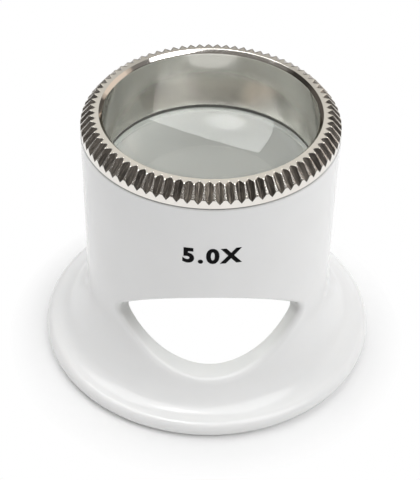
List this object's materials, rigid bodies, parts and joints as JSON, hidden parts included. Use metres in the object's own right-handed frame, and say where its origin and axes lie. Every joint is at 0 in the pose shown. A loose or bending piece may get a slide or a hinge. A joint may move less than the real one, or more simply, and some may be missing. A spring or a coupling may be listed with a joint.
{
  "type": "watchmaker's eye loupe",
  "caption": "Eye loupe: white moulded barrel with a wide eye flange and side window, biconvex lens, and a knurled metal ring screwed into the top.",
  "frame": {"origin": "on the optical axis in the plane the eye flange rests on, the bottom centre of the bounding box", "axes": "+Z along the optical axis from the eye flange to the knurled ring, -Y through the middle of the side window, +X to the viewer's right when facing the window"},
  "size_m": [0.0438, 0.0438, 0.035],
  "materials": {
    "shell_plastic": "glossy white moulded plastic",
    "lens_glass": "polished clear glass",
    "washer_fibre": "matt black",
    "ring_metal": "polished nickel plate, cut knurling"
  },
  "bodies": {
    "shell": {"body_shell": "shell_plastic", "lens": "lens_glass"},
    "washer": {"seat_washer": "washer_fibre"},
    "ring": {"clamp_ring": "ring_metal"}
  },
  "joints": [
    {"name": "ring_climb", "type": "slide", "parent": "shell", "child": "washer", "axis": [0, 0, 1], "range_m": [0, 0.003]},
    {"name": "ring_turn", "type": "hinge", "parent": "washer", "child": "ring", "pos_m": [0, 0, 0.0335], "axis": [0, 0, 1], "range_deg": [0, 1440]}
  ],
  "couplings": [
    {"joint": "ring_climb", "follows": "ring_turn", "m_per_rad": 0.00011937}
  ]
}
